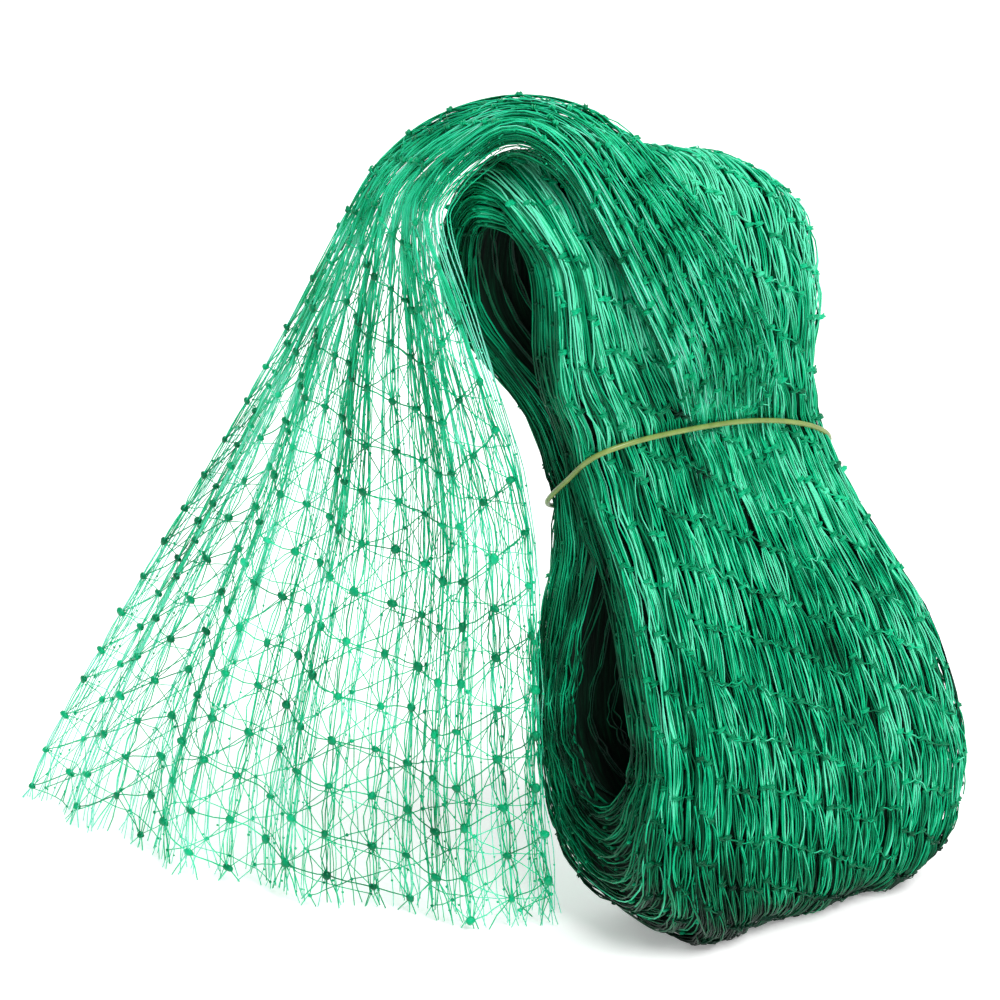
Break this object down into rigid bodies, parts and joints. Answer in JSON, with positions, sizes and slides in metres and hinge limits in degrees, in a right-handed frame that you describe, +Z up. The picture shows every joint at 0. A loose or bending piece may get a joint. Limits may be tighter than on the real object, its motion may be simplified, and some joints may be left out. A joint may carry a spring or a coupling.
{
  "type": "bird netting roll",
  "caption": "Knotted garden bird net wound into a flattened loop, held at its waist by a rubber band, with a loose end fanned out to the floor.",
  "frame": {"origin": "middle of the whole object's footprint, on the surface that it stands on", "axes": "+X from the loose end's fan towards the roll, the longest way; +Y towards the back, the shortest way; +Z up"},
  "size_m": [0.3757, 0.2035, 0.3036],
  "materials": {
    "net": "knotted green synthetic yarn with a soft sheen",
    "rubber": "smooth yellow-green rubber band, satin"
  },
  "bodies": {
    "root": {"roll": "net", "loose_end": "net", "band": "rubber"}
  },
  "joints": []
}
